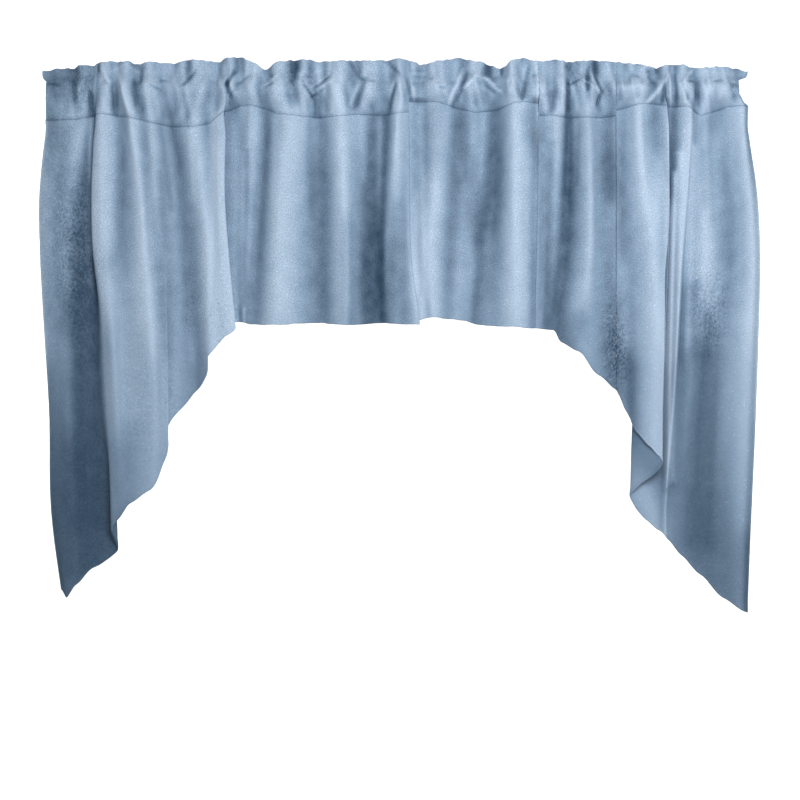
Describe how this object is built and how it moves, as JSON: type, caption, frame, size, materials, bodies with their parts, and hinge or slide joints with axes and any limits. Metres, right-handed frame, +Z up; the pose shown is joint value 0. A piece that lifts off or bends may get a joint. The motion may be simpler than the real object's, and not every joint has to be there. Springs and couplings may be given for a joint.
{
  "type": "swag and tail drape",
  "caption": "Gathered rod-pocket drape with a short straight centre, two long tapering tails and a stand-up ruffle.",
  "frame": {"origin": "on the rod pocket's axis, at the middle of the width", "axes": "+X to the right seen from the front, along the rod; -Y is the front; +Z up"},
  "size_m": [1.1944, 0.0457, 0.919],
  "materials": {
    "cloth": "steel-blue crepe-backed cloth with a soft brushed sheen and a matte reverse"
  },
  "bodies": {
    "root": {"panel_left": "cloth", "panel_centre": "cloth", "panel_gore": "cloth", "panel_right": "cloth", "heading_left": "cloth", "heading_centre": "cloth", "heading_gore": "cloth", "heading_right": "cloth"}
  },
  "joints": []
}
